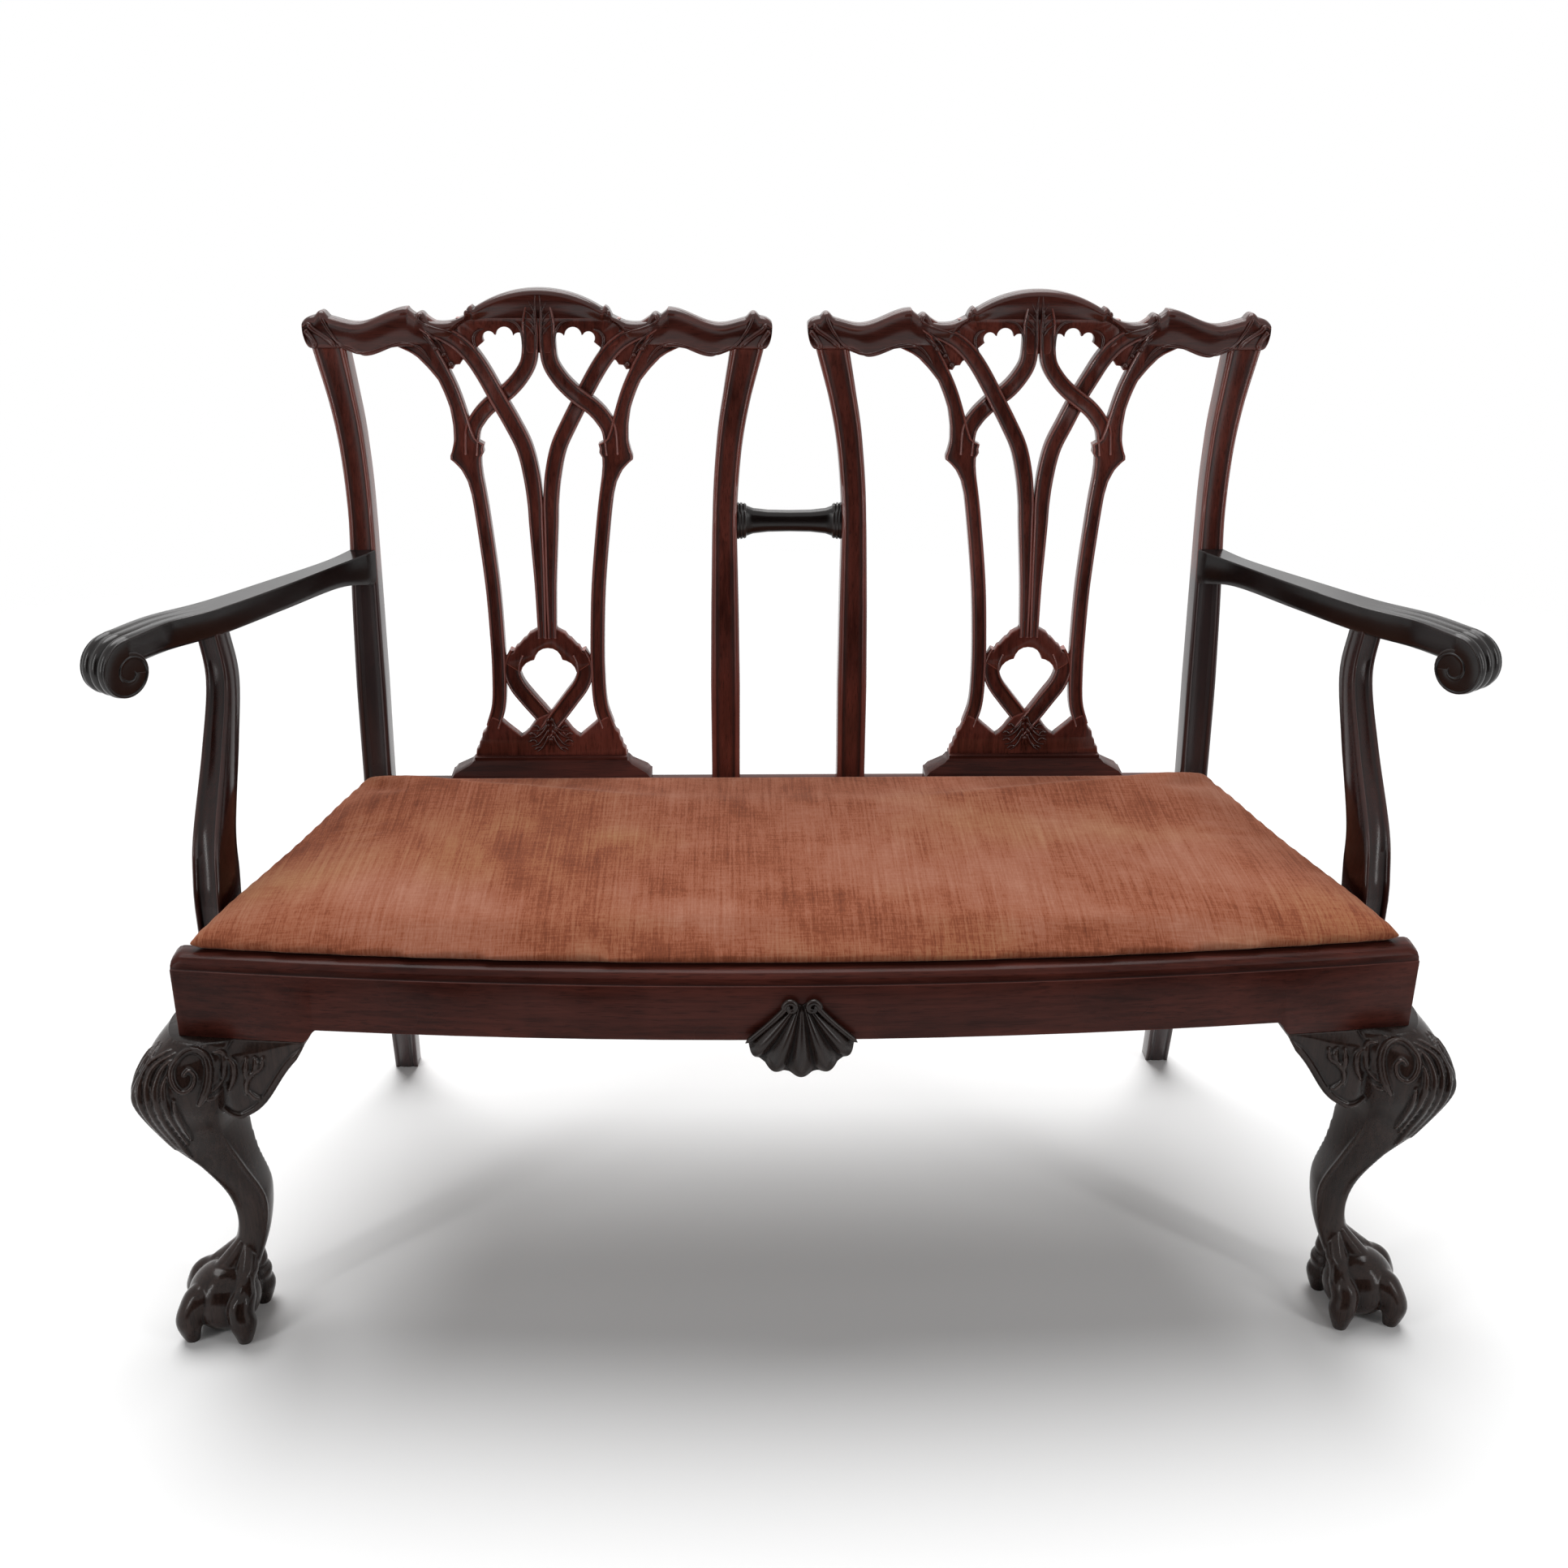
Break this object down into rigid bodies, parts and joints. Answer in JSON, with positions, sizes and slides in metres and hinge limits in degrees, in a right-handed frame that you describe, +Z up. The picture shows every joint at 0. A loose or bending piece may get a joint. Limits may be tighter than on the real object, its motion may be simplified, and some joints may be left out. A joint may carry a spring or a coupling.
{
  "type": "chair-back settee",
  "caption": "Mahogany settee with two pierced chair backs, scrolled arms, carved cabriole front legs with claw-and-ball feet and a drop-in seat in rust velvet",
  "frame": {"origin": "on the floor, in the middle of the settee's width and depth", "axes": "+X to the right as the settee is looked at, +Y to the back, +Z up"},
  "size_m": [1.3796, 0.574, 0.988],
  "materials": {
    "red_mahogany": "glossy dark red-brown",
    "dark_mahogany": "glossy, nearly black",
    "leg_mahogany": "waxed, nearly black",
    "beech": "bare",
    "jute": "coarse weave",
    "velvet": "rust velvet with fine stripes",
    "cambric": "black, plain weave",
    "steel": "plain"
  },
  "bodies": {
    "frame": {"front_rail": "red_mahogany", "rear_rail": "red_mahogany", "rear_ledge": "beech", "connecting_rail": "red_mahogany", "shell_carving": "leg_mahogany", "left_crest_rail": "red_mahogany", "right_crest_rail": "red_mahogany", "left_splat": "red_mahogany", "right_splat": "red_mahogany", "left_shoe": "red_mahogany", "right_shoe": "red_mahogany", "left_rear_post": "red_mahogany", "right_rear_post": "red_mahogany", "left_inner_stile": "red_mahogany", "right_inner_stile": "red_mahogany", "left_side_rail": "red_mahogany", "right_side_rail": "red_mahogany", "left_arm": "dark_mahogany", "right_arm": "dark_mahogany", "left_arm_support": "dark_mahogany", "right_arm_support": "dark_mahogany", "left_front_leg": "leg_mahogany", "right_front_leg": "leg_mahogany", "left_front_bracket": "leg_mahogany", "right_front_bracket": "leg_mahogany", "left_side_bracket": "leg_mahogany", "right_side_bracket": "leg_mahogany", "left_front_corner_block": "beech", "right_front_corner_block": "beech", "left_rear_corner_block": "beech", "right_rear_corner_block": "beech", "left_front_block_screw": "steel", "right_front_block_screw": "steel", "left_rear_block_screw": "steel", "right_rear_block_screw": "steel", "left_arm_screw": "steel", "right_arm_screw": "steel", "left_support_screw_1": "steel", "left_support_screw_2": "steel", "right_support_screw_1": "steel", "right_support_screw_2": "steel"},
    "slip_seat": {"seat_front_member": "beech", "seat_rear_member": "beech", "seat_left_member": "beech", "seat_right_member": "beech", "seat_cross_member": "beech", "seat_long_web_1": "jute", "seat_long_web_2": "jute", "seat_long_web_3": "jute", "seat_long_web_4": "jute", "seat_row_web_1": "jute", "seat_row_web_2": "jute", "seat_hessian": "jute", "seat_dust_cover": "cambric", "seat_pad": "velvet"}
  },
  "joints": [
    {"name": "seat_lift", "type": "slide", "parent": "frame", "child": "slip_seat", "axis": [0, 0, 1], "range_m": [0, 0.15]}
  ]
}
